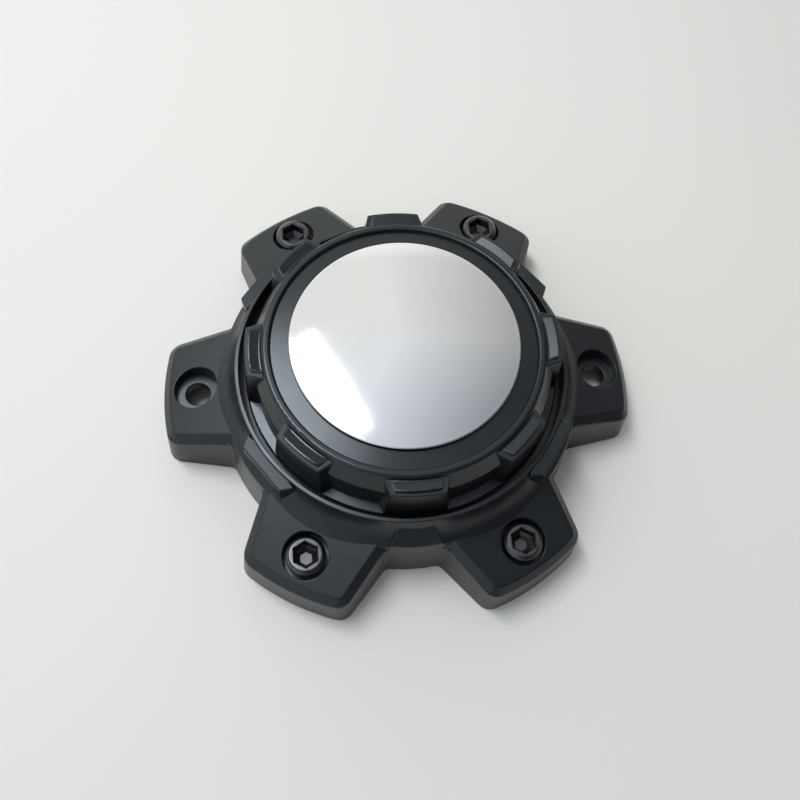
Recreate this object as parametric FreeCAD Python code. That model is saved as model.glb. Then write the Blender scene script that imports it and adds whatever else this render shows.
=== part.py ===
import FreeCAD, Part
import math
import os

# A six-arm wheel centre cap: a hollow star base, a lugged crown in it, and a domed mirror disc.
# Millimetres. The axis is Z, the mounting face is z = 0, and an open screw hole lies on +X.

# Radial chain, from the rim of the flank
RIM_RADIUS = 56.7             # outer edge of the rim
RIM_WIDTH = 1.4
FLANK_SPREAD = 6.8            # rim to foot of the flank
FLANK_HOLLOW = 1.6            # the flank's curve inside a straight slope
HOLE_GAP = 0.1                # foot of the flank to a counterbore
TIP_LAND = 5.2                # counterbore to the end of its arm

# Heights, from the mounting face
FACE_HEIGHT = 18.2            # arm face at the hole circle
FACE_SLOPE_DEG = 14.0         # the faces fall away towards the tips
RIM_RISE = 12.9               # rim above that height
LEDGE_DEPTH = 7.5             # ledge below the rim
LEDGE_THICKNESS = 2.6

# Arms
ARM_COUNT = 6
ARM_HALF_WIDTH = 21.7         # at the hole circle
ARM_TAPER_DEG = 10.5          # each side closes in towards the tip
TIP_CORNER_RADIUS = 5.5
DRAFT_DEG = 5.0
EDGE_BEVEL = 2.5
WALL = 3.5
CORE_CORNER_RADIUS = 2.5

# Round wall between the arms, with a raised panel on the flank above two of them
NOTCH_SHELF = 0.7             # foot of the flank to the wall, at the mounting face
NOTCH_CORNER_RADIUS = 3.0     # wall into the sides of the arms
PANEL_ANGLES = (90.0, 270.0)
PANEL_RISE = 1.25             # lower edge of a panel above the foot of the flank
PANEL_LEAN_DEG = 40.0
PANEL_HALF_WIDTH = 9.3        # at its lower edge
PANEL_TAPER_DEG = 34.7        # each side closes in towards the axis

# Screw holes, in a cup under each arm
HOLE_RADIUS = 4.2
COUNTERBORE_RADIUS = 7.6
SEAT_DEPTH = 5.8              # counterbore floor below the face, on the hole's axis
SEAT_THICKNESS = 4.0
CUP_WALL = 3.0
RIB_THICKNESS = 2.6

# Blocks on the flank, beside the arms with open holes
SHOULDER_ANGLES = (36.3, 143.7, 216.3, 323.7)
SHOULDER_PROUD = 3.6          # flat face beyond the rim
SHOULDER_DROP = 1.1           # top below the rim
SHOULDER_FACE_HALF_WIDTH = 9.7
SHOULDER_ROOT_HALF_WIDTH = 12.2

# Crown
CHANNEL_WIDTH = 1.9           # dark channel inside the rim
LEDGE_SEAT = 6.4              # width of the ledge under the flange
FLANGE_THICKNESS = 3.4
FLANGE_SLOPE_WIDTH = 3.4      # edge of the flange to the wall
FLANGE_SLOPE_RISE = 0.3
CROWN_LEAN = 0.2              # the wall leans in by this, up to the brow
CROWN_RISE = 10.95
BROW_WIDTH = 3.3              # the brow slopes from the wall in to the lip
BROW_RISE = 6.6
LIP_LAND = 2.1
LIP_EDGE_RADIUS = 1.6         # lip into the brow
LIP_STEP_WIDTH = 0.65
LIP_STEP_DEPTH = 0.55
RING_WIDTH = 5.85             # ring between the lip and the disc
RING_FALL = 0.5               # the ring falls away from the disc by this
CROWN_WALL = 3.0
CROWN_TOP_THICKNESS = 3.0
SPIGOT_CLEARANCE = 0.3

# Lugs on the crown
LUG_COUNT = 8
LUG_MARGIN = 0.4              # foot of a lug inside the edge of the flange
LUG_LEAN = 0.7
LUG_DROP = 1.6                # top of a lug below the lip
LUG_FOOT_HALF_WIDTH = 10.4
LUG_TOP_HALF_WIDTH = 8.8
LUG_FLARE = 1.9               # each side opens by this towards the axis
PAD_RISE = 1.2
PAD_INSET = 1.3               # edge of a pad from the top edge of its lug
PAD_LENGTH = 3.8
PAD_HALF_WIDTH = 7.4
PAD_FLARE = 1.0

# Disc and the tape that holds it
DISC_EDGE = 0.8
DISC_WALL = 1.2
DOME_RISE = 4.0
DISC_SEAT_WIDTH = 6.5
TAPE_THICKNESS = 1.0
TAPE_MARGIN = 0.8             # tape inside the seat, on both edges

# Bolts and nuts in four of the six arms
BOLT_ANGLES = (60.0, 120.0, 240.0, 300.0)
BOLT_RADIUS = 4.0
BOLT_HEAD_RADIUS = 6.5
BOLT_HEAD_HEIGHT = 7.0
BOLT_HEAD_CHAMFER = 1.6
BOLT_TAIL = 1.5               # stem below its nut
SOCKET_ACROSS_FLATS = 7.4
SOCKET_DEPTH = 4.4
NUT_ACROSS_FLATS = 13.0
NUT_THICKNESS = 4.0
THREAD_CLEARANCE = 0.05

# Screws from the ledge up into the crown
SCREW_ANGLES = (45.0, 135.0, 225.0, 315.0)
SCREW_RADIUS = 1.4
SCREW_HEAD_RADIUS = 2.9
SCREW_HEAD_HEIGHT = 2.2
SCREW_GRIP = 8.0              # thread inside the crown
SCREW_HOLE_CLEARANCE = 0.3
SCREW_RECESS_LENGTH = 3.2
SCREW_RECESS_WIDTH = 0.9
SCREW_RECESS_DEPTH = 1.3

# Worked out from the sizes above
ARM_PITCH = 360.0 / ARM_COUNT
LUG_PITCH = 360.0 / LUG_COUNT
FOOT_RADIUS = RIM_RADIUS + FLANK_SPREAD
NOTCH_RADIUS = FOOT_RADIUS + NOTCH_SHELF
SHOULDER_DISTANCE = RIM_RADIUS + SHOULDER_PROUD
HOLE_CIRCLE = FOOT_RADIUS + HOLE_GAP + COUNTERBORE_RADIUS
TIP_RADIUS = HOLE_CIRCLE + COUNTERBORE_RADIUS + TIP_LAND
FACE_SLOPE = math.tan(math.radians(FACE_SLOPE_DEG))
DRAFT = math.tan(math.radians(DRAFT_DEG))
FOOT_HEIGHT = FACE_HEIGHT + FACE_SLOPE * (HOLE_CIRCLE - FOOT_RADIUS)
PANEL_HEIGHT = FOOT_HEIGHT + PANEL_RISE
PANEL_DISTANCE = NOTCH_RADIUS - DRAFT * PANEL_HEIGHT
SEAT_HEIGHT = FACE_HEIGHT - SEAT_DEPTH
CUP_BOTTOM = SEAT_HEIGHT - SEAT_THICKNESS
RIM_HEIGHT = FACE_HEIGHT + RIM_RISE
COLLAR_RADIUS = RIM_RADIUS - RIM_WIDTH
LEDGE_HEIGHT = RIM_HEIGHT - LEDGE_DEPTH
LEDGE_BOTTOM = LEDGE_HEIGHT - LEDGE_THICKNESS
FLANGE_RADIUS = COLLAR_RADIUS - CHANNEL_WIDTH
OPENING_RADIUS = FLANGE_RADIUS - LEDGE_SEAT
FLANGE_TOP = LEDGE_HEIGHT + FLANGE_THICKNESS
WALL_FOOT_RADIUS = FLANGE_RADIUS - FLANGE_SLOPE_WIDTH
WALL_FOOT_HEIGHT = FLANGE_TOP + FLANGE_SLOPE_RISE
BROW_RADIUS = WALL_FOOT_RADIUS - CROWN_LEAN
BROW_HEIGHT = WALL_FOOT_HEIGHT + CROWN_RISE
LIP_RADIUS = BROW_RADIUS - BROW_WIDTH
LIP_HEIGHT = BROW_HEIGHT + BROW_RISE
RING_RADIUS = LIP_RADIUS - LIP_LAND - LIP_STEP_WIDTH
RING_HEIGHT = LIP_HEIGHT - LIP_STEP_DEPTH
SPIGOT_RADIUS = OPENING_RADIUS - SPIGOT_CLEARANCE
LUG_TOP = LIP_HEIGHT - LUG_DROP
LUG_FOOT_RADIUS = FLANGE_RADIUS - LUG_MARGIN
LUG_TOP_RADIUS = LUG_FOOT_RADIUS - LUG_LEAN
DISC_RADIUS = RING_RADIUS - RING_WIDTH
DISC_HEIGHT = RING_HEIGHT + TAPE_THICKNESS
SCREW_CIRCLE = (OPENING_RADIUS + FLANGE_RADIUS) / 2

Z_AXIS = FreeCAD.Vector(0, 0, 1)
ORIGIN = FreeCAD.Vector(0, 0, 0)
REACH = 1.0                   # how far a cutter runs past what it cuts
FACE_TOLERANCE = 0.01


def face_height(radius):
    return FACE_HEIGHT + FACE_SLOPE * (HOLE_CIRCLE - radius)


def on_circle(radius, angle_deg, height=0.0):
    angle = math.radians(angle_deg)
    return FreeCAD.Vector(radius * math.cos(angle), radius * math.sin(angle), height)


def turned(shape, angle_deg):
    copy = shape.copy()
    copy.rotate(ORIGIN, Z_AXIS, angle_deg)
    return copy


def revolved(profile):
    points = [FreeCAD.Vector(radius, 0, height) for radius, height in profile]
    face = Part.Face(Part.makePolygon(points + points[:1]))
    return face.revolve(ORIGIN, Z_AXIS, 360)


def cylinder(radius, bottom, top, centre=ORIGIN):
    return Part.makeCylinder(radius, top - bottom, FreeCAD.Vector(centre.x, centre.y, bottom))


def hexagon(across_flats, bottom, top, centre=ORIGIN):
    corner = across_flats / math.sqrt(3)
    points = [centre + on_circle(corner, 30 + 60 * k, bottom) for k in range(6)]
    face = Part.Face(Part.makePolygon(points + points[:1]))
    return face.extrude(Z_AXIS * (top - bottom))


def line(start, end):
    return Part.LineSegment(start, end).toShape()


def arc(start, middle, end):
    return Part.Arc(start, middle, end).toShape()


# Star base

def prismatoid(lower, upper):
    # a solid between two polygons of as many corners, with flat sides
    faces = [Part.Face(Part.makePolygon(ring + ring[:1])) for ring in (lower, upper)]
    count = len(lower)
    for k in range(count):
        after = (k + 1) % count
        side = [lower[k], lower[after], upper[after], upper[k]]
        faces.append(Part.Face(Part.makePolygon(side + side[:1])))
    solid = Part.Solid(Part.Shell(faces))
    if solid.Volume < 0:
        solid.reverse()
    return solid


def side_half_width(x, inset):
    # half width of an arm about +X, with its sides moved in by inset
    taper = math.radians(ARM_TAPER_DEG)
    return ARM_HALF_WIDTH - (x - HOLE_CIRCLE) * math.tan(taper) - inset / math.cos(taper)


def arm_block(inset, bottom, corner_radius):
    # an arm about +X with drafted walls and a flat face that slopes down to its round end
    def corners(x, height):
        half = side_half_width(x, inset + DRAFT * height)
        return FreeCAD.Vector(x, -half, height), FreeCAD.Vector(x, half, height)

    root = OPENING_RADIUS * math.cos(math.radians(ARM_PITCH / 2))
    end = TIP_RADIUS + REACH
    lower_root, lower_end = corners(root, bottom), corners(end, bottom)
    upper_root = corners(root, face_height(root) - inset)
    upper_end = corners(end, face_height(end) - inset)
    lower = [lower_root[0], lower_end[0], lower_end[1], lower_root[1]]
    upper = [upper_root[0], upper_end[0], upper_end[1], upper_root[1]]
    top = face_height(root)
    tip_cone = revolved([
        (0, bottom),
        (TIP_RADIUS - inset - DRAFT * bottom, bottom),
        (TIP_RADIUS - inset - DRAFT * top, top),
        (0, top),
    ])
    block = prismatoid(lower, upper).common(tip_cone)
    upright = []
    for edge in block.Edges:
        if edge.BoundBox.ZLength > corner_radius and edge.BoundBox.XMin > HOLE_CIRCLE:
            upright.append(edge)
    return block.makeFillet(corner_radius, upright)


def outer_arm():
    # the arm with a bevel along its sides and round its end
    block = arm_block(0, 0, TIP_CORNER_RADIUS)
    shoulder = []
    for edge in block.Edges:
        on_face = all(abs(point.z - face_height(point.x)) < FACE_TOLERANCE for point in edge.discretize(3))
        if on_face and edge.BoundBox.XMax > HOLE_CIRCLE:
            shoulder.append(edge)
    return block.makeChamfer(EDGE_BEVEL, shoulder)


def wall_cone(inset, bottom, top):
    # the drafted round wall between the arms, moved in by inset
    return revolved([
        (0, bottom),
        (NOTCH_RADIUS - inset - DRAFT * bottom, bottom),
        (NOTCH_RADIUS - inset - DRAFT * top, top),
        (0, top),
    ])


def flank_ring():
    # the flank sweeps from the rim out to the arm faces in a hollow curve
    rim = FreeCAD.Vector(RIM_RADIUS, 0, RIM_HEIGHT)
    foot = FreeCAD.Vector(FOOT_RADIUS, 0, FOOT_HEIGHT)
    hollow = FreeCAD.Vector(FOOT_HEIGHT - RIM_HEIGHT, 0, RIM_RADIUS - FOOT_RADIUS)
    hollow.normalize()
    middle = (rim + foot) / 2 + hollow * FLANK_HOLLOW
    corners = [
        (RIM_RADIUS, RIM_HEIGHT),
        (COLLAR_RADIUS, RIM_HEIGHT),
        (COLLAR_RADIUS, LEDGE_HEIGHT),
        (OPENING_RADIUS, LEDGE_HEIGHT),
        (OPENING_RADIUS, 0),
        (NOTCH_RADIUS, 0),
        (FOOT_RADIUS, FOOT_HEIGHT),
    ]
    points = [FreeCAD.Vector(radius, 0, height) for radius, height in corners]
    edges = [line(first, second) for first, second in zip(points, points[1:])]
    edges.append(arc(foot, middle, rim))
    return Part.Face(Part.Wire(edges)).revolve(ORIGIN, Z_AXIS, 360)


def arm_wedge():
    # the space over an arm's face, between its bevels
    root = OPENING_RADIUS
    end = FOOT_RADIUS + REACH
    inset = DRAFT * FOOT_HEIGHT + EDGE_BEVEL

    def ring(height):
        return [
            FreeCAD.Vector(root, -side_half_width(root, inset), height),
            FreeCAD.Vector(end, -side_half_width(end, inset), height),
            FreeCAD.Vector(end, side_half_width(end, inset), height),
            FreeCAD.Vector(root, side_half_width(root, inset), height),
        ]

    return prismatoid(ring(FOOT_HEIGHT - EDGE_BEVEL), ring(RIM_HEIGHT + REACH))


def flank_panel():
    # a flat trapezoid panel about +X, leaning from the wall's top in to the flank
    lean = math.tan(math.radians(PANEL_LEAN_DEG))
    taper = math.tan(math.radians(PANEL_TAPER_DEG))
    root = (COLLAR_RADIUS + RIM_RADIUS) / 2
    top = PANEL_HEIGHT + (PANEL_DISTANCE - RIM_RADIUS) / lean

    def ring(height):
        front = PANEL_DISTANCE - (height - PANEL_HEIGHT) * lean
        front_half = PANEL_HALF_WIDTH - (PANEL_DISTANCE - front) * taper
        root_half = PANEL_HALF_WIDTH - (PANEL_DISTANCE - root) * taper
        return [
            FreeCAD.Vector(root, -root_half, height),
            FreeCAD.Vector(front, -front_half, height),
            FreeCAD.Vector(front, front_half, height),
            FreeCAD.Vector(root, root_half, height),
        ]

    return prismatoid(ring(FOOT_HEIGHT), ring(top)).common(wall_cone(0, 0, RIM_HEIGHT))


def shoulder_block():
    # a block on the flank about +X, with a flat face and slanted ends
    root = (COLLAR_RADIUS + RIM_RADIUS) / 2

    def ring(height):
        return [
            FreeCAD.Vector(root, -SHOULDER_ROOT_HALF_WIDTH, height),
            FreeCAD.Vector(SHOULDER_DISTANCE, -SHOULDER_FACE_HALF_WIDTH, height),
            FreeCAD.Vector(SHOULDER_DISTANCE, SHOULDER_FACE_HALF_WIDTH, height),
            FreeCAD.Vector(root, SHOULDER_ROOT_HALF_WIDTH, height),
        ]

    return prismatoid(ring(FOOT_HEIGHT - EDGE_BEVEL), ring(RIM_HEIGHT - SHOULDER_DROP))


def round_corners(base):
    # rounds the inner corners between the wall and the sides of the arms
    corners = []
    for edge in base.Edges:
        ends = [vertex.Point for vertex in edge.Vertexes]
        if len(ends) == 2 and min(end.z for end in ends) < FACE_TOLERANCE and edge.BoundBox.ZLength > WALL:
            radii = [math.hypot(end.x, end.y) for end in ends]
            if max(radii) < HOLE_CIRCLE and min(radii) > COLLAR_RADIUS:
                corners.append(edge)
    return base.makeFillet(NOTCH_CORNER_RADIUS, corners)


def arm_cup():
    centre = on_circle(HOLE_CIRCLE, 0)
    roof = face_height(HOLE_CIRCLE) - WALL / 2
    cup = cylinder(COUNTERBORE_RADIUS + CUP_WALL, CUP_BOTTOM, roof, centre)
    corner = FreeCAD.Vector(HOLE_CIRCLE - RIB_THICKNESS / 2, -ARM_HALF_WIDTH, CUP_BOTTOM)
    rib = Part.makeBox(RIB_THICKNESS, 2 * ARM_HALF_WIDTH, roof - CUP_BOTTOM, corner)
    return cup.fuse(rib).common(arm_block(WALL / 2, 0, CORE_CORNER_RADIUS))


def arm_hole():
    centre = on_circle(HOLE_CIRCLE, 0)
    through = cylinder(HOLE_RADIUS, -REACH, RIM_HEIGHT, centre)
    counterbore = cylinder(COUNTERBORE_RADIUS, SEAT_HEIGHT, RIM_HEIGHT, centre)
    return through.fuse(counterbore)


def star_base():
    arm_angles = [arm * ARM_PITCH for arm in range(ARM_COUNT)]
    arm = outer_arm()
    ring = flank_ring()
    drum = ring.common(wall_cone(0, 0, RIM_HEIGHT))
    base = round_corners(drum.fuse([turned(arm, angle) for angle in arm_angles]))
    over_arm = ring.common(arm_wedge())
    panel = flank_panel()
    block = shoulder_block()
    base = base.fuse(
        [turned(over_arm, angle) for angle in arm_angles]
        + [turned(panel, angle) for angle in PANEL_ANGLES]
        + [turned(block, angle) for angle in SHOULDER_ANGLES]
    )
    core_arm = arm_block(WALL, -REACH, CORE_CORNER_RADIUS)
    core = wall_cone(WALL, -REACH, FOOT_HEIGHT - WALL).fuse([turned(core_arm, angle) for angle in arm_angles])
    core = core.cut(cylinder(COLLAR_RADIUS, LEDGE_BOTTOM, RIM_HEIGHT))
    well = cylinder(COLLAR_RADIUS, -REACH, LEDGE_BOTTOM)
    bowl = cylinder(COLLAR_RADIUS, LEDGE_HEIGHT, RIM_HEIGHT + REACH)
    opening = cylinder(OPENING_RADIUS, -REACH, RIM_HEIGHT)
    base = base.cut([core, well, bowl, opening])
    cup = arm_cup()
    base = base.fuse([turned(cup, angle) for angle in arm_angles])
    hole = arm_hole()
    screw_hole = SCREW_RADIUS + SCREW_HOLE_CLEARANCE
    screw_holes = [
        cylinder(screw_hole, LEDGE_BOTTOM - REACH, LEDGE_HEIGHT + REACH, on_circle(SCREW_CIRCLE, angle))
        for angle in SCREW_ANGLES
    ]
    base = base.cut([turned(hole, angle) for angle in arm_angles] + screw_holes)
    return base.removeSplitter()


# Crown

def brow_radius(height):
    # outer radius of the slope between the crown's wall and its lip
    return BROW_RADIUS - BROW_WIDTH * (height - BROW_HEIGHT) / BROW_RISE


def ring_sector(inner_radius, outer_radius, inner_half, outer_half, height):
    # four-sided outline about +X with a round outer and inner side
    def corner(radius, half):
        return FreeCAD.Vector(math.sqrt(radius ** 2 - half ** 2), half, height)

    outer_high = corner(outer_radius, outer_half)
    inner_high = corner(inner_radius, inner_half)
    outer_low = FreeCAD.Vector(outer_high.x, -outer_high.y, height)
    inner_low = FreeCAD.Vector(inner_high.x, -inner_high.y, height)
    return Part.Wire([
        arc(outer_low, FreeCAD.Vector(outer_radius, 0, height), outer_high),
        line(outer_high, inner_high),
        arc(inner_high, FreeCAD.Vector(inner_radius, 0, height), inner_low),
        line(inner_low, outer_low),
    ])


def crown_lug():
    foot = FLANGE_TOP
    foot_inner = WALL_FOOT_RADIUS - CROWN_WALL / 2
    top_inner = brow_radius(LUG_TOP) - CROWN_WALL / 2
    block = Part.makeLoft([
        ring_sector(foot_inner, LUG_FOOT_RADIUS, LUG_FOOT_HALF_WIDTH + LUG_FLARE, LUG_FOOT_HALF_WIDTH, foot),
        ring_sector(top_inner, LUG_TOP_RADIUS, LUG_TOP_HALF_WIDTH + LUG_FLARE, LUG_TOP_HALF_WIDTH, LUG_TOP),
    ], True, True)
    pad_outer = LUG_TOP_RADIUS - PAD_INSET
    pad_inner = pad_outer - PAD_LENGTH
    pad_wire = ring_sector(pad_inner, pad_outer, PAD_HALF_WIDTH + PAD_FLARE, PAD_HALF_WIDTH, LUG_TOP)
    pad = Part.Face(pad_wire).extrude(Z_AXIS * PAD_RISE)
    return block.fuse(pad)


def crown():
    shell = revolved([
        (0, LEDGE_HEIGHT),
        (FLANGE_RADIUS, LEDGE_HEIGHT),
        (FLANGE_RADIUS, FLANGE_TOP),
        (WALL_FOOT_RADIUS, WALL_FOOT_HEIGHT),
        (BROW_RADIUS, BROW_HEIGHT),
        (LIP_RADIUS, LIP_HEIGHT),
        (LIP_RADIUS - LIP_LAND, LIP_HEIGHT),
        (RING_RADIUS, RING_HEIGHT - RING_FALL),
        (DISC_RADIUS, RING_HEIGHT),
        (0, RING_HEIGHT),
    ])
    lip_edges = []
    for edge in shell.Edges:
        radii = [math.hypot(point.x, point.y) for point in edge.discretize(3)]
        if all(abs(radius - LIP_RADIUS) < FACE_TOLERANCE for radius in radii):
            lip_edges.append(edge)
    shell = shell.makeFillet(LIP_EDGE_RADIUS, lip_edges)
    shell = shell.fuse(cylinder(SPIGOT_RADIUS, LEDGE_BOTTOM, LEDGE_HEIGHT))
    lug = crown_lug()
    shell = shell.fuse([turned(lug, k * LUG_PITCH) for k in range(LUG_COUNT)])
    cavity_top = RING_HEIGHT - CROWN_TOP_THICKNESS
    cavity = revolved([
        (0, LEDGE_BOTTOM - REACH),
        (SPIGOT_RADIUS - CROWN_WALL, LEDGE_BOTTOM - REACH),
        (SPIGOT_RADIUS - CROWN_WALL, WALL_FOOT_HEIGHT),
        (LIP_RADIUS - CROWN_WALL, cavity_top),
        (0, cavity_top),
    ])
    pilot = SCREW_RADIUS + THREAD_CLEARANCE
    pilots = [
        cylinder(pilot, LEDGE_HEIGHT - REACH, LEDGE_HEIGHT + SCREW_GRIP + REACH, on_circle(SCREW_CIRCLE, angle))
        for angle in SCREW_ANGLES
    ]
    return shell.cut([cavity] + pilots).removeSplitter()


# Disc and tape

def dome_arc(radius, edge_height, rise):
    # profile of a shallow dome, from its edge to the axis
    half = radius / 2
    sphere = (radius ** 2 + rise ** 2) / (2 * rise)
    middle_height = edge_height + rise - sphere + math.sqrt(sphere ** 2 - half ** 2)
    return arc(
        FreeCAD.Vector(radius, 0, edge_height),
        FreeCAD.Vector(half, 0, middle_height),
        FreeCAD.Vector(0, 0, edge_height + rise),
    )


def mirror_disc():
    seat_inner = DISC_RADIUS - DISC_SEAT_WIDTH
    edge_height = DISC_HEIGHT + DISC_EDGE
    under_rise = DOME_RISE + DISC_EDGE - DISC_WALL
    outer = dome_arc(DISC_RADIUS, edge_height, DOME_RISE)
    under = dome_arc(seat_inner, DISC_HEIGHT, under_rise)
    profile = Part.Wire([
        line(FreeCAD.Vector(seat_inner, 0, DISC_HEIGHT), FreeCAD.Vector(DISC_RADIUS, 0, DISC_HEIGHT)),
        line(FreeCAD.Vector(DISC_RADIUS, 0, DISC_HEIGHT), FreeCAD.Vector(DISC_RADIUS, 0, edge_height)),
        outer,
        line(FreeCAD.Vector(0, 0, edge_height + DOME_RISE), FreeCAD.Vector(0, 0, DISC_HEIGHT + under_rise)),
        under,
    ])
    return Part.Face(profile).revolve(ORIGIN, Z_AXIS, 360)


def adhesive_ring():
    outer = DISC_RADIUS - TAPE_MARGIN
    inner = DISC_RADIUS - DISC_SEAT_WIDTH + TAPE_MARGIN
    return cylinder(outer, RING_HEIGHT, DISC_HEIGHT).cut(cylinder(inner, RING_HEIGHT, DISC_HEIGHT))


# Fasteners

def socket_bolt(angle_deg):
    centre = on_circle(HOLE_CIRCLE, angle_deg)
    head_top = SEAT_HEIGHT + BOLT_HEAD_HEIGHT
    tail = CUP_BOTTOM - NUT_THICKNESS - BOLT_TAIL
    body = revolved([
        (0, tail),
        (BOLT_RADIUS, tail),
        (BOLT_RADIUS, SEAT_HEIGHT),
        (BOLT_HEAD_RADIUS, SEAT_HEIGHT),
        (BOLT_HEAD_RADIUS, head_top - BOLT_HEAD_CHAMFER),
        (BOLT_HEAD_RADIUS - BOLT_HEAD_CHAMFER, head_top),
        (0, head_top),
    ])
    body = body.cut(hexagon(SOCKET_ACROSS_FLATS, head_top - SOCKET_DEPTH, head_top + REACH))
    body.translate(centre)
    return body


def bolt_nut(angle_deg):
    centre = on_circle(HOLE_CIRCLE, angle_deg)
    bottom = CUP_BOTTOM - NUT_THICKNESS
    nut = hexagon(NUT_ACROSS_FLATS, bottom, CUP_BOTTOM)
    nut = nut.cut(cylinder(BOLT_RADIUS + THREAD_CLEARANCE, bottom, CUP_BOTTOM))
    nut.translate(centre)
    return nut


def crown_screw(angle_deg):
    head_bottom = LEDGE_BOTTOM - SCREW_HEAD_HEIGHT
    tip = LEDGE_HEIGHT + SCREW_GRIP
    body = revolved([
        (0, head_bottom),
        (SCREW_HEAD_RADIUS, head_bottom),
        (SCREW_HEAD_RADIUS, LEDGE_BOTTOM),
        (SCREW_RADIUS, LEDGE_BOTTOM),
        (SCREW_RADIUS, tip),
        (0, tip),
    ])
    for length, width in ((SCREW_RECESS_LENGTH, SCREW_RECESS_WIDTH), (SCREW_RECESS_WIDTH, SCREW_RECESS_LENGTH)):
        corner = FreeCAD.Vector(-length / 2, -width / 2, head_bottom - REACH)
        body = body.cut(Part.makeBox(length, width, SCREW_RECESS_DEPTH + REACH, corner))
    body.translate(on_circle(SCREW_CIRCLE, angle_deg))
    return body


def write(name, shape):
    shape.exportStep(os.path.join("parts", name + ".step"))
    print(name, len(shape.Solids), "solids", round(shape.Volume), "mm3", "valid" if shape.isValid() else "not valid")


os.makedirs("parts", exist_ok=True)
write("star_base", star_base())
write("crown", crown())
write("mirror_disc", mirror_disc())
write("adhesive_ring", adhesive_ring())
write("socket_bolts", Part.makeCompound([socket_bolt(angle) for angle in BOLT_ANGLES]))
write("bolt_nuts", Part.makeCompound([bolt_nut(angle) for angle in BOLT_ANGLES]))
write("crown_screws", Part.makeCompound([crown_screw(angle) for angle in SCREW_ANGLES]))
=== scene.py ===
import bpy
import bmesh
import math
from mathutils import Matrix, Vector
from mathutils.bvhtree import BVHTree
from mathutils.geometry import intersect_point_line


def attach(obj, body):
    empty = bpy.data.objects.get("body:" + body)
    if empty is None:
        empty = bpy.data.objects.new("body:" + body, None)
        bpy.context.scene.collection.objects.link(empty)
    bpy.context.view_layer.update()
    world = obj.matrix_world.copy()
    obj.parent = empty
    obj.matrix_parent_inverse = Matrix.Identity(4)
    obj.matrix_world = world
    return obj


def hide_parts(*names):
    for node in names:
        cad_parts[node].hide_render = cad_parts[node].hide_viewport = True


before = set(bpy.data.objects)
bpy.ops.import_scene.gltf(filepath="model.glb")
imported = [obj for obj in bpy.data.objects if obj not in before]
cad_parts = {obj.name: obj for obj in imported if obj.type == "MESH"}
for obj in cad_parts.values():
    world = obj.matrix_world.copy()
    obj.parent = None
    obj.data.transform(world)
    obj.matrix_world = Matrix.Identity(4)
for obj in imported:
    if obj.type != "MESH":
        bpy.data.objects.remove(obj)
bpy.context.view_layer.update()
scene = bpy.context.scene
scene.view_settings.view_transform = "Standard"
mm = 0.001
print("frame loaded:", ", ".join(sorted(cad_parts)))


# small helpers for node trees
def newMaterial(name):
    material = bpy.data.materials.new(name)
    material.use_nodes = True
    tree = material.node_tree
    tree.nodes.clear()
    output = tree.nodes.new("ShaderNodeOutputMaterial")
    shader = tree.nodes.new("ShaderNodeBsdfPrincipled")
    tree.links.new(shader.outputs["BSDF"], output.inputs["Surface"])
    return material, tree, shader


def objectNoise(tree, look):
    coords = tree.nodes.new("ShaderNodeTexCoord")
    mapping = tree.nodes.new("ShaderNodeMapping")
    mapping.inputs["Scale"].default_value = look.get("stretch", (1, 1, 1))
    noise = tree.nodes.new("ShaderNodeTexNoise")
    noise.inputs["Scale"].default_value = look["scale"]
    noise.inputs["Detail"].default_value = look["detail"]
    noise.inputs["Roughness"].default_value = look["rough"]
    tree.links.new(coords.outputs["Object"], mapping.inputs["Vector"])
    tree.links.new(mapping.outputs["Vector"], noise.inputs["Vector"])
    return noise.outputs["Fac"]


def mapped(tree, value, low, high, fromLow=0.3, fromHigh=0.7):
    ramp = tree.nodes.new("ShaderNodeMapRange")
    ramp.inputs["From Min"].default_value = fromLow
    ramp.inputs["From Max"].default_value = fromHigh
    ramp.inputs["To Min"].default_value = low
    ramp.inputs["To Max"].default_value = high
    tree.links.new(value, ramp.inputs["Value"])
    return ramp.outputs["Result"]


def mixedColour(tree, factor, first, second):
    mix = tree.nodes.new("ShaderNodeMix")
    mix.data_type = "RGBA"
    mix.inputs["A"].default_value = (*first, 1)
    mix.inputs["B"].default_value = (*second, 1)
    tree.links.new(factor, mix.inputs["Factor"])
    return mix.outputs["Result"]


def bumped(tree, height, strength, distance):
    bump = tree.nodes.new("ShaderNodeBump")
    bump.inputs["Strength"].default_value = strength
    bump.inputs["Distance"].default_value = distance
    tree.links.new(height, bump.inputs["Height"])
    return bump.outputs["Normal"]


# satin moulded plastic: an even fine grain, slightly cloudy gloss
def satinPlastic(name, look):
    material, tree, shader = newMaterial(name)
    cloud = objectNoise(tree, look["cloud"])
    grain = objectNoise(tree, look["grain"])
    colour = mixedColour(tree, mapped(tree, cloud, 0, 1), look["dark"], look["light"])
    gloss = mapped(tree, cloud, look["roughLow"], look["roughHigh"])
    tree.links.new(colour, shader.inputs["Base Color"])
    tree.links.new(gloss, shader.inputs["Roughness"])
    relief = bumped(tree, grain, look["grainStrength"], look["grainDepth"])
    tree.links.new(relief, shader.inputs["Normal"])
    shader.inputs["IOR"].default_value = look["ior"]
    shader.inputs["Specular Tint"].default_value = (*look["glossTint"], 1)
    return material


plasticLook = {
    "dark": (0.0078, 0.0088, 0.0102), "light": (0.0103, 0.0116, 0.0132),
    "glossTint": (0.88, 0.95, 1.0), "roughLow": 0.30, "roughHigh": 0.36, "ior": 1.5,
    "cloud": {"scale": 55, "detail": 3, "rough": 0.55},
    "grain": {"scale": 2600, "detail": 2, "rough": 0.6},
    "grainStrength": 0.18, "grainDepth": 0.00006,
}
basePlastic = satinPlastic("basePlastic", plasticLook)
crownLook = {**plasticLook, "roughLow": 0.25, "roughHigh": 0.30}
crownPlastic = satinPlastic("crownPlastic", crownLook)


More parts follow.
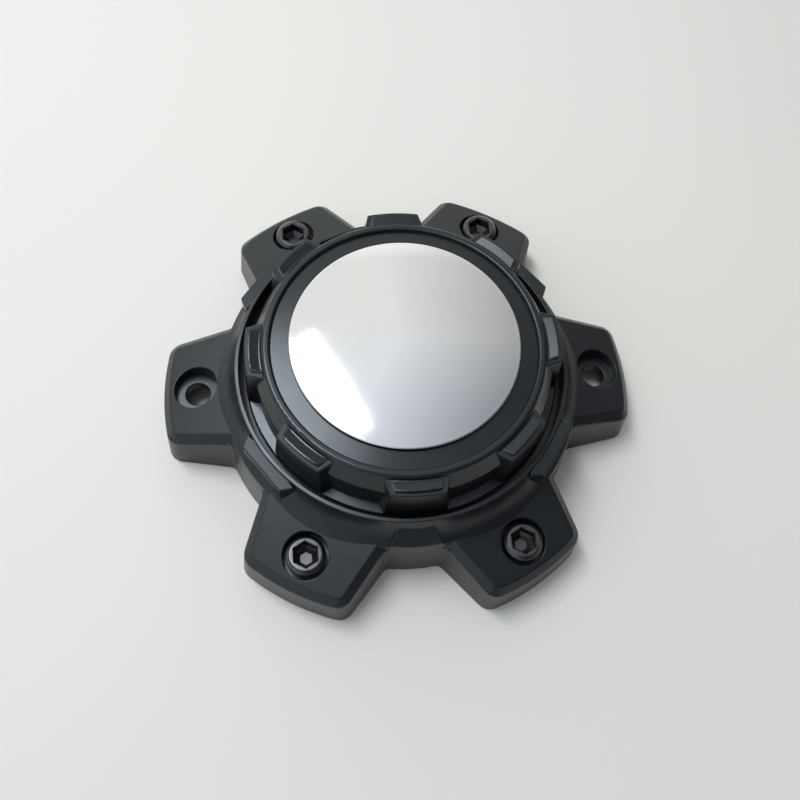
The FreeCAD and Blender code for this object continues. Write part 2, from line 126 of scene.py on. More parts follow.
# plain metal finishes with faint tool marks
def metalFinish(name, look):
    material, tree, shader = newMaterial(name)
    cloud = objectNoise(tree, look["cloud"])
    marks = objectNoise(tree, look["marks"])
    colour = mixedColour(tree, mapped(tree, cloud, 0, 1), look["dark"], look["light"])
    gloss = mapped(tree, cloud, look["roughLow"], look["roughHigh"])
    relief = bumped(tree, marks, look["markStrength"], look["markDepth"])
    tree.links.new(colour, shader.inputs["Base Color"])
    tree.links.new(gloss, shader.inputs["Roughness"])
    tree.links.new(relief, shader.inputs["Normal"])
    shader.inputs["Metallic"].default_value = look["metallic"]
    shader.inputs["Coat Weight"].default_value = look["oil"]
    shader.inputs["Coat Roughness"].default_value = look["oilRough"]
    return material


mirrorLook = {
    "dark": (0.86, 0.87, 0.885), "light": (0.90, 0.905, 0.915), "metallic": 1.0,
    "roughLow": 0.045, "roughHigh": 0.075, "oil": 0.0, "oilRough": 0.1,
    "cloud": {"scale": 38, "detail": 4, "rough": 0.6},
    "marks": {"scale": 160, "detail": 2, "rough": 0.5},
    "markStrength": 0.02, "markDepth": 0.00002,
}
boltLook = {
    "dark": (0.048, 0.050, 0.053), "light": (0.072, 0.074, 0.078), "metallic": 0.9,
    "roughLow": 0.26, "roughHigh": 0.36, "oil": 0.6, "oilRough": 0.22,
    "cloud": {"scale": 180, "detail": 4, "rough": 0.6},
    "marks": {"scale": 1500, "detail": 2, "rough": 0.5, "stretch": (1, 1, 0.2)},
    "markStrength": 0.12, "markDepth": 0.00005,
}
zincLook = {
    "dark": (0.47, 0.48, 0.50), "light": (0.60, 0.61, 0.63), "metallic": 1.0,
    "roughLow": 0.24, "roughHigh": 0.38, "oil": 0.0, "oilRough": 0.1,
    "cloud": {"scale": 260, "detail": 4, "rough": 0.6},
    "marks": {"scale": 1700, "detail": 2, "rough": 0.5, "stretch": (1, 1, 0.15)},
    "markStrength": 0.15, "markDepth": 0.00005,
}
discMirror = metalFinish("discMirror", mirrorLook)
boltBlack = metalFinish("boltBlack", boltLook)
nutZinc = metalFinish("nutZinc", zincLook)


# closed-cell foam tape
def foamFinish(name, look):
    material, tree, shader = newMaterial(name)
    cells = tree.nodes.new("ShaderNodeTexVoronoi")
    cells.inputs["Scale"].default_value = look["cellScale"]
    coords = tree.nodes.new("ShaderNodeTexCoord")
    tree.links.new(coords.outputs["Object"], cells.inputs["Vector"])
    depth = cells.outputs["Distance"]
    # the cell pits are painted darker: painted shade that follows the bump's low points
    shade = mapped(tree, depth, 0, 1, look["shadeFrom"], look["shadeTo"])
    colour = mixedColour(tree, shade, look["dark"], look["light"])
    relief = bumped(tree, depth, look["cellStrength"], look["cellDepth"])
    tree.links.new(colour, shader.inputs["Base Color"])
    tree.links.new(relief, shader.inputs["Normal"])
    shader.inputs["Roughness"].default_value = look["rough"]
    return material


foamLook = {
    "dark": (0.012, 0.012, 0.013), "light": (0.03, 0.03, 0.031), "rough": 0.9,
    "cellScale": 2200, "cellStrength": 0.5, "cellDepth": 0.0001, "shadeFrom": 0.1, "shadeTo": 0.7,
}
foamTape = foamFinish("foamTape", foamLook)
print("materials made:", len(bpy.data.materials))


# a piece from a mesh, riding on the one body
def addPiece(name, mesh, material, node):
    piece = bpy.data.objects.new(name, mesh)
    scene.collection.objects.link(piece)
    mesh.materials.clear()
    mesh.materials.append(material)
    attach(piece, "root")
    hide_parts(node)
    return piece


# the moulded pieces: the solid's own mesh, joined up
# its true edges are those where the corner normals part
def normalGap(edge, normals):
    one, other = edge.link_loops
    atStart = one[normals].angle(other.link_loop_next[normals], 0)
    atEnd = one.link_loop_next[normals].angle(other[normals], 0)
    return max(atStart, atEnd)


def easedCopy(nodeName, settings):
    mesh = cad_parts[nodeName].data.copy()
    kept = mesh.attributes.new("ownNormal", "FLOAT_VECTOR", "CORNER")
    for corner, normal in zip(kept.data, mesh.corner_normals):
        corner.vector = normal.vector
    shape = bmesh.new()
    shape.from_mesh(mesh)
    normals = shape.loops.layers.float_vector["ownNormal"]
    weights = shape.edges.layers.float.new("bevel_weight_edge")
    for edge in shape.edges:
        edge.smooth = True
    bmesh.ops.remove_doubles(shape, verts=shape.verts, dist=settings["joinDistance"])
    bmesh.ops.dissolve_degenerate(shape, edges=shape.edges, dist=settings["joinDistance"])
    for edge in shape.edges:
        if len(edge.link_loops) != 2:
            continue
        if normalGap(edge, normals) > math.radians(settings["edgeAngle"]):
            middle = (edge.verts[0].co + edge.verts[1].co) / 2
            edge[weights] = settings["weight"](middle) if edge.is_convex else 0
            edge.smooth = edge[weights] > 0
    settings["refine"](shape)
    flat = math.radians(settings["flatAngle"])
    bmesh.ops.dissolve_limit(shape, angle_limit=flat, verts=shape.verts, edges=shape.edges)
    for face in shape.faces:
        face.smooth = True
    shape.to_mesh(mesh)
    shape.free()
    for layer in list(mesh.attributes):
        if layer.name in ("custom_normal", "ownNormal"):
            mesh.attributes.remove(layer)
    return mesh


def easeEdges(piece, settings):
    mesh = piece.data
    shape = bmesh.new()
    shape.from_mesh(mesh)
    surface = BVHTree.FromBMesh(shape)
    weights = shape.edges.layers.float["bevel_weight_edge"]
    bevel = piece.modifiers.new("easedEdges", "BEVEL")
    bevel.limit_method = "WEIGHT"
    bevel.width = settings["edgeRadius"]
    bevel.segments = settings["edgeSegments"]
    bevel.use_clamp_overlap = False
    bevel.harden_normals = True
    # corners too tight for the full radius keep a plain edge
    for attempt in range(settings["tries"]):
        bpy.context.view_layer.update()
        made = piece.evaluated_get(bpy.context.evaluated_depsgraph_get()).to_mesh()
        strays = []
        for vertex in made.vertices:
            if surface.find_nearest(vertex.co)[3] > settings["stray"]:
                strays.append(vertex.co.copy())
        piece.evaluated_get(bpy.context.evaluated_depsgraph_get()).to_mesh_clear()
        if not strays:
            break
        cleared = 0
        for edge in shape.edges:
            if edge[weights] == 0:
                continue
            start, end = (vertex.co for vertex in edge.verts)
            for stray in strays:
                along = intersect_point_line(stray, start, end)[1]
                nearest = start.lerp(end, min(1, max(0, along)))
                if (nearest - stray).length < settings["clear"] * (1 + attempt / 2):
                    edge[weights] = 0
                    edge.smooth = False
                    cleared += 1
                    break
        shape.to_mesh(mesh)
        print(piece.name, "strays", len(strays), "edges left plain", cleared)
    shape.free()
    weighted = piece.modifiers.new("evenNormals", "WEIGHTED_NORMAL")
    weighted.keep_sharp = True


# the rim's land falls a little outwards
rimMake = {
    "top": 31.1 * mm, "inner": 55.3 * mm, "outer": 56.7 * mm, "fall": 0.15 * mm, "near": 0.1 * mm,
    "weight": 0.6,
}


def leanRim(shape):
    for vertex in shape.verts:
        radius = math.hypot(vertex.co.x, vertex.co.y)
        onLand = rimMake["inner"] - rimMake["near"] < radius < rimMake["outer"] + rimMake["near"]
        if onLand and abs(vertex.co.z - rimMake["top"]) < rimMake["near"]:
            width = rimMake["outer"] - rimMake["inner"]
            vertex.co.z -= rimMake["fall"] * (radius - rimMake["inner"]) / width


# a counterbore's rim stays plain where it comes close to the flank; the rim's edges are crisper
footMake = {"inner": 63.2 * mm, "outer": 64.4 * mm, "above": 18.5 * mm}


def baseWeight(middle):
    radius = math.hypot(middle.x, middle.y)
    if footMake["inner"] < radius < footMake["outer"] and middle.z > footMake["above"]:
        return 0.0
    return rimMake["weight"] if abs(middle.z - rimMake["top"]) < rimMake["near"] else 1.0


baseMake = {
    "joinDistance": 0.00006, "flatAngle": 0.1, "edgeAngle": 18, "edgeRadius": 0.0004,
    "edgeSegments": 2, "stray": 0.0003, "clear": 0.0009, "tries": 8,
    "weight": baseWeight, "refine": leanRim,
}
baseMesh = easedCopy("star_base", baseMake)
starBase = addPiece("starBase", baseMesh, basePlastic, "star_base")
easeEdges(starBase, baseMake)
print("star base:", len(starBase.data.polygons), "faces")

# each pad leans in towards the axis inside a narrow bright edge; the ring falls outwards
padMake = {
    "top": 44.45 * mm, "inner": 47.2 * mm, "outer": 51.0 * mm, "edge": 0.5 * mm,
    "lean": 17, "edgeLean": 8, "count": 8, "near": 0.05 * mm, "facing": 0.9, "weight": 0.2,
}
ringMake = {
    "inner": 37.9 * mm, "outer": 43.75 * mm, "top": 44.3 * mm, "fall": 0.5 * mm,
    "more": 0.2 * mm, "near": 0.08 * mm, "reach": 1.01,
}
flangeMake = {"top": 27.0 * mm, "inner": 53.2 * mm, "near": 0.1 * mm, "weight": 1.0}


def onPad(point):
    level = abs(point.z - padMake["top"]) < padMake["near"]
    return level and math.hypot(point.x, point.y) > padMake["inner"] - padMake["near"]


def crownWeight(middle):
    level = abs(middle.z - flangeMake["top"]) < flangeMake["near"]
    if level and math.hypot(middle.x, middle.y) > flangeMake["inner"]:
        return flangeMake["weight"]
    return padMake["weight"] if onPad(middle) else crownMake["otherWeight"]


def leanPad(shape, turn):
    outwards = Vector((math.cos(turn), math.sin(turn), 0))
    sideways = Vector((-math.sin(turn), math.cos(turn), 0))

    def onThisPad(point):
        return onPad(point) and point.dot(outwards) > padMake["facing"] * point.xy.length

    faces = [face for face in shape.faces if all(onThisPad(vertex.co) for vertex in face.verts)]
    top = bmesh.ops.dissolve_faces(shape, faces=faces)["region"][0]
    border = list(top.verts)
    bmesh.ops.inset_individual(shape, faces=[top], thickness=padMake["edge"], use_even_offset=True)
    lean = math.tan(math.radians(padMake["lean"]))
    edgeLean = math.tan(math.radians(padMake["edgeLean"]))
    for vertex in top.verts:
        vertex.co.z -= (padMake["outer"] - padMake["edge"] - vertex.co.dot(outwards)) * lean
    for edge in top.edges:
        edge.smooth = False
    for vertex in border:
        inside = min(top.verts, key=lambda other: (other.co.xy - vertex.co.xy).length)
        gap = vertex.co - inside.co
        vertex.co.z = inside.co.z - (gap.dot(outwards) + abs(gap.dot(sideways))) * edgeLean


def leanCrown(shape):
    for k in range(padMake["count"]):
        leanPad(shape, 2 * math.pi * k / padMake["count"])
    for vertex in shape.verts:
        out = (vertex.co.xy.length - ringMake["inner"]) / (ringMake["outer"] - ringMake["inner"])
        above = vertex.co.z - ringMake["top"] + ringMake["fall"] * out
        if 0 < out < ringMake["reach"] and abs(above) < ringMake["near"]:
            vertex.co.z -= ringMake["more"] * out
    for edge in shape.edges:
        gaps = [abs(vertex.co.xy.length - ringMake["inner"]) for vertex in edge.verts]
        if max(gaps) < ringMake["near"]:
            edge.smooth = False


crownMake = {
    "joinDistance": 0.00006, "flatAngle": 0.1, "edgeAngle": 18, "edgeRadius": 0.0005,
    "edgeSegments": 2, "stray": 0.00025, "clear": 0.0009, "tries": 8,
    "weight": crownWeight, "otherWeight": 0.65, "refine": leanCrown,
}
crownMesh = easedCopy("crown", crownMake)
lugCrown = addPiece("lugCrown", crownMesh, crownPlastic, "crown")
easeEdges(lugCrown, crownMake)
print("crown:", len(lugCrown.data.polygons), "faces")


# meshes from stacked outlines of equal count, closed at the poles
def skinned(name, rings, closedLoop=False):
    mesh = bpy.data.meshes.new(name)
    shape = bmesh.new()
    loops = []
    for ring in rings:
        loops.append([shape.verts.new(point) for point in ring])
    pairs = list(zip(loops, loops[1:]))
    if closedLoop:
        pairs.append((loops[-1], loops[0]))
    for lower, upper in pairs:
        count = max(len(lower), len(upper))
        for k in range(count):
            after = (k + 1) % count
            if len(lower) == 1:
                shape.faces.new((lower[0], upper[after], upper[k]))
            elif len(upper) == 1:
                shape.faces.new((lower[k], lower[after], upper[0]))
            else:
                shape.faces.new((lower[k], lower[after], upper[after], upper[k]))
    bmesh.ops.recalc_face_normals(shape, faces=shape.faces)
    for face in shape.faces:
        face.smooth = True
    shape.to_mesh(mesh)
    shape.free()
    return mesh


def circleRing(radius, height, count):
    if radius == 0:
        return [Vector((0, 0, height))]
    turns = [2 * math.pi * k / count for k in range(count)]
    flat = [(radius * math.cos(turn), radius * math.sin(turn)) for turn in turns]
    return [Vector((x, y, height)) for x, y in flat]


def hexRing(acrossFlats, height, count, firstCorner=30):
    points = []
    for k in range(count):
        turn = 360 * k / count
        offset = math.radians((turn - firstCorner) % 60 - 30)
        radius = acrossFlats / 2 / math.cos(offset)
        x = radius * math.cos(math.radians(turn))
        y = radius * math.sin(math.radians(turn))
        points.append(Vector((x, y, height)))
    return points


# rounded corner of a lathe outline, from one straight to the next
def roundedOutline(corners, radii, steps):
    points = []
    last = len(corners) - 1
    for k, corner in enumerate(corners):
        if k in (0, last) or radii[k] == 0:
            points.append(corner)
            continue
        here = Vector(corner)
        before = Vector(corners[k - 1]) - here
        after = Vector(corners[k + 1]) - here
        start = here + before.normalized() * radii[k]
        end = here + after.normalized() * radii[k]
        for step in range(steps + 1):
            t = step / steps
            points.append(tuple((1 - t) ** 2 * start + 2 * t * (1 - t) * here + t * t * end))
    return points


# domed mirror disc with a rolled edge
discMake = {
    "radius": 37.9 * mm, "seatHeight": 45.3 * mm, "edge": 0.8 * mm, "rise": 4.0 * mm,
    "wall": 1.2 * mm, "seatWidth": 6.5 * mm, "roll": 0.55 * mm, "rollSteps": 8,
    "rings": 40, "around": 256,
}


def domeHeight(radius, edgeRadius, rise):
    sphere = (edgeRadius ** 2 + rise ** 2) / (2 * rise)
    return rise - sphere + math.sqrt(sphere ** 2 - radius ** 2)


def domedDisc(make):
    edgeTop = make["seatHeight"] + make["edge"]
    inner = make["radius"] - make["seatWidth"]
    underRise = make["rise"] + make["edge"] - make["wall"]
    outline = [(0, make["seatHeight"] + underRise)]
    for k in range(1, make["rings"] + 1):
        radius = inner * k / make["rings"]
        outline.append((radius, make["seatHeight"] + domeHeight(radius, inner, underRise)))
    shoulder = make["radius"] - make["roll"]
    outline.append((shoulder, make["seatHeight"]))
    shoulderRise = domeHeight(shoulder, make["radius"], make["rise"])
    middle = (make["seatHeight"] + edgeTop + shoulderRise) / 2
    half = middle - make["seatHeight"]
    for k in range(1, make["rollSteps"]):
        turn = math.radians(-90 + 180 * k / make["rollSteps"])
        outline.append((shoulder + make["roll"] * math.cos(turn), middle + half * math.sin(turn)))
    for k in range(make["rings"], 0, -1):
        radius = shoulder * k / make["rings"]
        outline.append((radius, edgeTop + domeHeight(radius, make["radius"], make["rise"])))
    outline.append((0, edgeTop + make["rise"]))
    rings = [circleRing(radius, height, make["around"]) for radius, height in outline]
    return skinned("mirrorDisc", rings)


discMesh = domedDisc(discMake)
mirrorDisc = addPiece("mirrorDisc", discMesh, discMirror, "mirror_disc")
print("mirror disc:", len(mirrorDisc.data.polygons), "faces")

# tape ring with bulging sides
tapeMake = {
    "outer": 37.1 * mm, "inner": 32.2 * mm, "bottom": 44.3 * mm, "top": 45.3 * mm,
    "bulge": 0.12 * mm, "steps": 4, "around": 160,
}


def tapeRing(make):
    outline = []
    height = make["top"] - make["bottom"]
    shares = [k / make["steps"] for k in range(make["steps"] + 1)]
    for t in shares:
        inset = make["bulge"] * (1 - math.sin(math.pi * t))
        outline.append((make["outer"] - inset, make["bottom"] + height * t))
    for t in shares:
        inset = make["bulge"] * (1 - math.sin(math.pi * t))
        outline.append((make["inner"] + inset, make["top"] - height * t))
    rings = [circleRing(radius, z, make["around"]) for radius, z in outline]
    return skinned("adhesiveRing", rings, True)


tapeMesh = tapeRing(tapeMake)
adhesiveRing = addPiece("adhesiveRing", tapeMesh, foamTape, "adhesive_ring")
print("tape ring:", len(adhesiveRing.data.polygons), "faces")


# fasteners: one of each, set round the axis by a node tree
def fastenerTree():
    tree = bpy.data.node_groups.new("setRoundAxis", "GeometryNodeTree")
    sockets = tree.interface
    inputs = (
        ("Geometry", "NodeSocketGeometry"), ("Count", "NodeSocketInt"),
        ("Circle", "NodeSocketFloat"), ("First Angle", "NodeSocketFloat"),
        ("Step", "NodeSocketFloat"), ("Skip", "NodeSocketFloat"),
        ("Finish", "NodeSocketMaterial"),
    )
    for label, kind in inputs:
        sockets.new_socket(label, in_out="INPUT", socket_type=kind)
    sockets.new_socket("Geometry", in_out="OUTPUT", socket_type="NodeSocketGeometry")
    nodes, links = tree.nodes, tree.links
    given = nodes.new("NodeGroupInput")
    result = nodes.new("NodeGroupOutput")

    def maths(operation, first, second):
        node = nodes.new("ShaderNodeMath")
        node.operation = operation
        for socket, value in zip(node.inputs, (first, second)):
            if isinstance(value, (int, float)):
                socket.default_value = value
            elif value is not None:
                links.new(value, socket)
        return node.outputs[0]

    index = nodes.new("GeometryNodeInputIndex").outputs[0]
    halfway = maths("MULTIPLY", given.outputs["Count"], 0.5)
    past = maths("GREATER_THAN", index, maths("SUBTRACT", halfway, 0.5))
    angle = maths("MULTIPLY_ADD", index, given.outputs["Step"])
    links.new(given.outputs["First Angle"], angle.node.inputs[2])
    skipped = maths("MULTIPLY_ADD", past, given.outputs["Skip"])
    links.new(angle, skipped.node.inputs[2])
    turn = maths("RADIANS", skipped, None)
    place = nodes.new("ShaderNodeCombineXYZ")
    circle = given.outputs["Circle"]
    links.new(maths("MULTIPLY", maths("COSINE", turn, None), circle), place.inputs["X"])
    links.new(maths("MULTIPLY", maths("SINE", turn, None), circle), place.inputs["Y"])
    points = nodes.new("GeometryNodePoints")
    links.new(given.outputs["Count"], points.inputs["Count"])
    links.new(place.outputs[0], points.inputs["Position"])
    copies = nodes.new("GeometryNodeInstanceOnPoints")
    links.new(points.outputs[0], copies.inputs["Points"])
    links.new(given.outputs["Geometry"], copies.inputs["Instance"])
    real = nodes.new("GeometryNodeRealizeInstances")
    links.new(copies.outputs[0], real.inputs[0])
    finish = nodes.new("GeometryNodeSetMaterial")
    links.new(real.outputs[0], finish.inputs["Geometry"])
    links.new(given.outputs["Finish"], finish.inputs["Material"])
    links.new(finish.outputs[0], result.inputs[0])
    return tree


setRoundAxis = fastenerTree()


def roundAxis(name, mesh, settings, material, node):
    single = bpy.data.objects.new(name + "Single", mesh)
    scene.collection.objects.link(single)
    modifier = single.modifiers.new("setRoundAxis", "NODES")
    modifier.node_group = setRoundAxis
    values = {**settings, "Finish": material}
    for item in setRoundAxis.interface.items_tree:
        if item.in_out == "INPUT" and item.name in values:
            modifier[item.identifier] = values[item.name]
    bpy.context.view_layer.update()
    depsgraph = bpy.context.evaluated_depsgraph_get()
    made = bpy.data.meshes.new_from_object(single.evaluated_get(depsgraph))
    made.name = name
    bpy.data.objects.remove(single)
    return addPiece(name, made, material, node)


# hex-socket bolts; the two open holes are skipped
boltPlaces = {"Count": 4, "Circle": 71.2 * mm, "First Angle": 60.0, "Step": 60.0, "Skip": 60.0}
boltMake = {
    "stem": 4.0 * mm, "tail": 2.9 * mm, "seat": 12.4 * mm, "around": 48,
    "tailInset": 1.2 * mm, "tailRimInset": 0.9 * mm, "tailRimRise": 0.05 * mm,
    "pitch": 1.25 * mm, "threadDepth": 0.55 * mm, "threadSteps": 6,
    "threadStart": 0.6 * mm, "plainStem": 3 * mm, "threadEnd": 0.8 * mm,
    "head": 6.5 * mm, "headTop": 19.4 * mm, "chamfer": 1.2 * mm, "headRound": 0.3 * mm,
    "chamferRound": 0.12 * mm, "roundSteps": 4, "socketLand": 0.75 * mm,
    "socket": 7.6 * mm, "socketDepth": 4.0 * mm, "socketChamfer": 0.3 * mm,
    "pilot": 3.8 * mm, "pilotDepth": 1.5 * mm,
}


def boltMesh(make):
    count = make["around"]
    rings = [circleRing(0, make["tail"], count)]
    for inset, rise in ((make["tailInset"], 0.0), (make["tailRimInset"], make["tailRimRise"])):
        rings.append(circleRing(make["stem"] - inset, make["tail"] + rise, count))
    threadTop = make["seat"] - make["plainStem"]
    threaded = threadTop - make["tail"] - make["threadStart"]
    steps = int(threaded / make["pitch"] * make["threadSteps"])
    for k in range(steps + 1):
        height = make["tail"] + make["threadStart"] + k * make["pitch"] / make["threadSteps"]
        ring = []
        for n in range(count):
            turn = 2 * math.pi * n / count
            phase = (k / make["threadSteps"] - n / count) % 1
            radius = make["stem"] - make["threadDepth"] * abs(2 * phase - 1)
            ring.append(Vector((radius * math.cos(turn), radius * math.sin(turn), height)))
        rings.append(ring)
    rings.append(circleRing(make["stem"], threadTop + make["threadEnd"], count))
    rings.append(circleRing(make["stem"], make["seat"], count))
    top = make["headTop"]
    corners = [
        (make["stem"], make["seat"]), (make["head"], make["seat"]),
        (make["head"], top - make["chamfer"]), (make["head"] - make["chamfer"], top),
        (make["socket"] / 2 + make["socketLand"], top),
    ]
    radii = (0, make["headRound"], make["headRound"], make["chamferRound"], 0)
    for radius, height in roundedOutline(corners, radii, make["roundSteps"])[1:]:
        rings.append(circleRing(radius, height, count))
    wide = make["socket"] + 2 * make["socketChamfer"]
    floor = top - make["socketDepth"]
    rings.append(hexRing(wide, top, count))
    rings.append(hexRing(make["socket"], top - make["socketChamfer"], count))
    rings.append(hexRing(make["socket"], floor, count))
    rings.append(hexRing(make["pilot"], floor - make["pilotDepth"], count))
    rings.append(circleRing(0, floor - make["pilotDepth"], count))
    return skinned("socketBolt", rings)


oneBolt = boltMesh(boltMake)
socketBolts = roundAxis(
    "socketBolts", oneBolt, boltPlaces, boltBlack, "socket_bolts")
print("socket bolts:", len(socketBolts.data.polygons), "faces")

# thin hex nuts, chamfered on both faces
nutMake = {
    "across": 13.0 * mm, "bottom": 4.4 * mm, "top": 8.4 * mm, "bore": 4.05 * mm, "around": 72,
    "faceInset": 0.25 * mm, "chamferRise": 0.25 * mm, "chamferReach": 0.3 * mm,
    "flatsFrom": 0.75 * mm, "boreChamfer": 0.5 * mm,
}


def nutMesh(make):
    count = make["around"]
    across, bottom, top = make["across"], make["bottom"], make["top"]
    bore, countersink = make["bore"], make["boreChamfer"]
    face, limit = across / 2 - make["faceInset"], across / 2 + make["chamferReach"]

    def chamfered(height):
        points = []
        for point in hexRing(across, height, count):
            flat = Vector((point.x, point.y, 0))
            radius = min(flat.length, limit)
            points.append(flat.normalized() * radius + Vector((0, 0, height)))
        return points

    rings = [
        circleRing(face, bottom, count), chamfered(bottom + make["chamferRise"]),
        hexRing(across, bottom + make["flatsFrom"], count),
        hexRing(across, top - make["flatsFrom"], count),
        chamfered(top - make["chamferRise"]), circleRing(face, top, count),
        circleRing(bore + countersink, top, count), circleRing(bore, top - countersink, count),
        circleRing(bore, bottom + countersink, count),
        circleRing(bore + countersink, bottom, count),
    ]
    return skinned("boltNut", rings, True)


oneNut = nutMesh(nutMake)
boltNuts = roundAxis("boltNuts", oneNut, boltPlaces, nutZinc, "bolt_nuts")

# pan-head screws with a cross recess, heads down
screwPlaces = {"Count": 4, "Circle": 50.2 * mm, "First Angle": 45.0, "Step": 90.0, "Skip": 0.0}
screwMake = {
    "head": 2.9 * mm, "headBottom": 18.8 * mm, "seat": 21.0 * mm, "stem": 1.4 * mm,
    "tip": 31.6 * mm, "point": 1 * mm, "headRound": 0.9 * mm, "roundSteps": 4, "around": 48,
    "recess": 3.2 * mm, "recessWidth": 0.9 * mm, "recessDepth": 1.3 * mm, "recessTaper": 0.7,
    "sideSteps": 4, "firstPoint": 2,
}


def crossRing(make, share, height):
    a, b = make["recess"] * share / 2, make["recessWidth"] * share / 2
    corners = [
        (a, -b), (a, b), (b, b), (b, a), (-b, a), (-b, b),
        (-a, b), (-a, -b), (-b, -b), (-b, -a), (b, -a), (b, -b),
    ]
    points = []
    for k, corner in enumerate(corners):
        after = corners[(k + 1) % len(corners)]
        for step in range(make["sideSteps"]):
            t = step / make["sideSteps"]
            x = corner[0] + (after[0] - corner[0]) * t
            y = corner[1] + (after[1] - corner[1]) * t
            points.append(Vector((x, y, height)))
    first = make["firstPoint"]
    return points[first:] + points[:first]


def screwMesh(make):
    count = make["around"]
    bottom = make["headBottom"]
    rings = [
        [Vector((0, 0, bottom + make["recessDepth"]))],
        crossRing(make, make["recessTaper"], bottom + make["recessDepth"]),
        crossRing(make, 1, bottom),
        circleRing(make["head"] - make["headRound"], bottom, count),
    ]
    for k in range(1, make["roundSteps"] + 1):
        turn = math.radians(90 * k / make["roundSteps"])
        radius = make["head"] - make["headRound"] + make["headRound"] * math.sin(turn)
        height = bottom + make["headRound"] * (1 - math.cos(turn))
        rings.append(circleRing(radius, height, count))
    rings.append(circleRing(make["head"], make["seat"], count))
    rings.append(circleRing(make["stem"], make["seat"], count))
    rings.append(circleRing(make["stem"], make["tip"] - make["point"], count))
    rings.append(circleRing(0, make["tip"], count))
    return skinned("crownScrew", rings)


oneScrew = screwMesh(screwMake)
crownScrews = roundAxis(
    "crownScrews", oneScrew, screwPlaces, nutZinc, "crown_screws")
print("fasteners set")

# edges that stay crisp on the turned pieces
crispAngle = 32
for piece in (socketBolts, boltNuts, crownScrews, adhesiveRing):
    shape = bmesh.new()
    shape.from_mesh(piece.data)
    for edge in shape.edges:
        if len(edge.link_faces) == 2 and edge.calc_face_angle() > math.radians(crispAngle):
            edge.smooth = False
    shape.to_mesh(piece.data)
    shape.free()


# pale floor
floorLook = {
    "size": 4.0, "warm": (0.775, 0.765, 0.705), "cool": (0.755, 0.75, 0.70), "rough": 0.65,
    "gloss": 0.2, "cloud": {"scale": 3, "detail": 2, "rough": 0.5},
}


def paleFloor(look):
    mesh = bpy.data.meshes.new("floor")
    half = look["size"] / 2
    corners = [(-half, -half, 0), (half, -half, 0), (half, half, 0), (-half, half, 0)]
    mesh.from_pydata(corners, [], [(0, 1, 2, 3)])
    floor = bpy.data.objects.new("floor", mesh)
    scene.collection.objects.link(floor)
    material, tree, shader = newMaterial("palePaper")
    cloud = objectNoise(tree, look["cloud"])
    colour = mixedColour(tree, mapped(tree, cloud, 0, 1), look["warm"], look["cool"])
    tree.links.new(colour, shader.inputs["Base Color"])
    shader.inputs["Roughness"].default_value = look["rough"]
    shader.inputs["Specular IOR Level"].default_value = look["gloss"]
    mesh.materials.append(material)


paleFloor(floorLook)
print("floor laid")


# soft room light: brighter to the left and at the back, dim towards the viewer
worldLook = {
    "middle": 0.655, "acrossSlope": -0.85, "awaySlope": 0.51, "awayLimit": 0.45,
    "lowest": 0.12, "highest": 0.84, "wallFrom": 0.20, "wallTo": 0.42, "wallLift": 0.4,
    "cool": (0.94, 0.985, 1.075), "warm": (1.0, 1.0, 0.955), "coolFrom": 0.05, "warmFrom": 0.65,
}


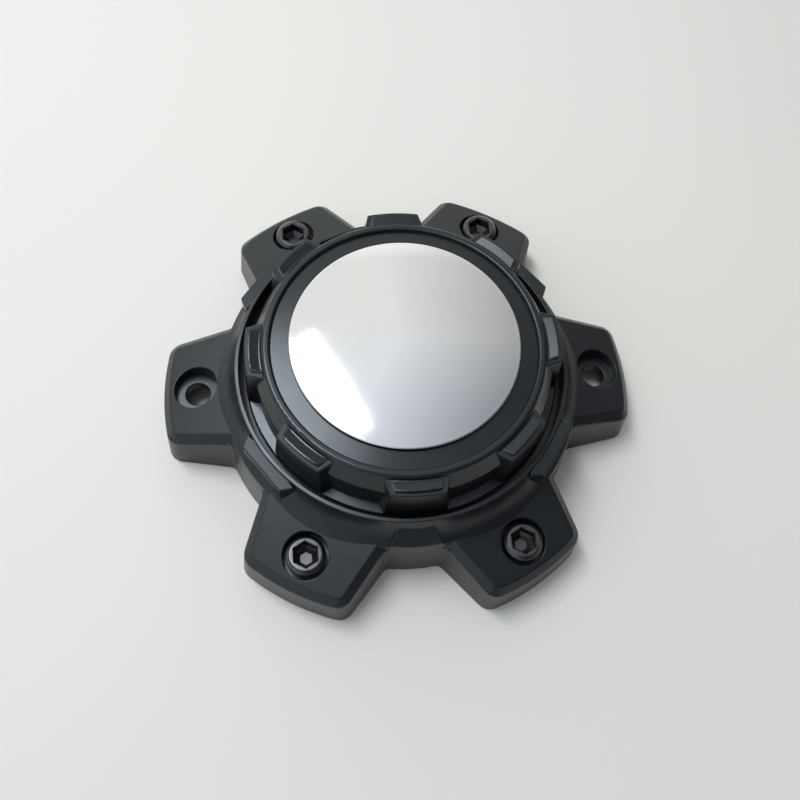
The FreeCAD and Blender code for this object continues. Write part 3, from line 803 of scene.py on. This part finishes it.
def softWorld(look):
    world = bpy.data.worlds.new("softRoom")
    scene.world = world
    world.use_nodes = True
    tree = world.node_tree
    tree.nodes.clear()
    output = tree.nodes.new("ShaderNodeOutputWorld")
    room = tree.nodes.new("ShaderNodeBackground")
    coords = tree.nodes.new("ShaderNodeTexCoord")
    parts = tree.nodes.new("ShaderNodeSeparateXYZ")
    tree.links.new(coords.outputs["Generated"], parts.inputs[0])

    def maths(operation, *values):
        node = tree.nodes.new("ShaderNodeMath")
        node.operation = operation
        for socket, value in zip(node.inputs, values):
            if isinstance(value, (int, float)):
                socket.default_value = value
            else:
                tree.links.new(value, socket)
        return node.outputs[0]

    across, away, up = parts.outputs["X"], parts.outputs["Y"], parts.outputs["Z"]
    slope = maths("MULTIPLY_ADD", across, look["acrossSlope"], look["middle"])
    depth = maths("MINIMUM", away, look["awayLimit"])
    slope = maths("MULTIPLY_ADD", depth, look["awaySlope"], slope)
    lowest, highest = look["lowest"], look["highest"]
    level = mapped(tree, slope, lowest, highest, lowest, highest)
    low = maths("SUBTRACT", away, up)
    wall = mapped(tree, low, 0, look["wallLift"], look["wallFrom"], look["wallTo"])
    tree.links.new(maths("ADD", level, wall), room.inputs["Strength"])
    warmth = mapped(tree, away, 0, 1, look["coolFrom"], look["warmFrom"])
    tree.links.new(mixedColour(tree, warmth, look["cool"], look["warm"]), room.inputs["Color"])
    tree.links.new(room.outputs[0], output.inputs["Surface"])


softWorld(worldLook)

# window light over the left, a long pane turned to the back left
keyLook = {
    "place": (-0.258, 0.214, 0.78), "target": (-0.258, 0.214, 0), "turn": -24,
    "wide": 0.16, "high": 0.497, "power": 4.0, "colour": (0.95, 0.985, 1.03),
}


def softLamp(name, look):
    lamp = bpy.data.lights.new(name, "AREA")
    lamp.shape = "RECTANGLE"
    lamp.size = look["wide"]
    lamp.size_y = look["high"]
    lamp.energy = look["power"]
    lamp.color = look["colour"]
    holder = bpy.data.objects.new(name, lamp)
    scene.collection.objects.link(holder)
    aim = (Vector(look["target"]) - Vector(look["place"])).normalized()
    turn = math.radians(90 - look["turn"])
    along = Vector((math.cos(turn), math.sin(turn), 0))
    along = (along - aim * along.dot(aim)).normalized()
    across = along.cross(-aim)
    axes = Matrix((across, along, -aim)).transposed().to_4x4()
    axes.translation = Vector(look["place"])
    holder.matrix_world = axes


softLamp("windowLight", keyLook)

# camera over the near edge, turned a little
cameraLook = {
    "place": (-0.02834, -0.13451, 0.29891), "right": (0.99483, -0.08109, 0.06121),
    "up": (0.04876, 0.90963, 0.41256), "back": (-0.08913, -0.40744, 0.90887),
    "lens": 39.78, "sensor": 36.0, "nearest": 0.01,
}
cameraData = bpy.data.cameras.new("camera")
cameraData.lens = cameraLook["lens"]
cameraData.sensor_width = cameraLook["sensor"]
cameraData.clip_start = cameraLook["nearest"]
camera = bpy.data.objects.new("camera", cameraData)
scene.collection.objects.link(camera)
axes = Matrix((cameraLook["right"], cameraLook["up"], cameraLook["back"])).transposed().to_4x4()
axes.translation = Vector(cameraLook["place"])
camera.matrix_world = axes
scene.camera = camera
print("light and camera set")
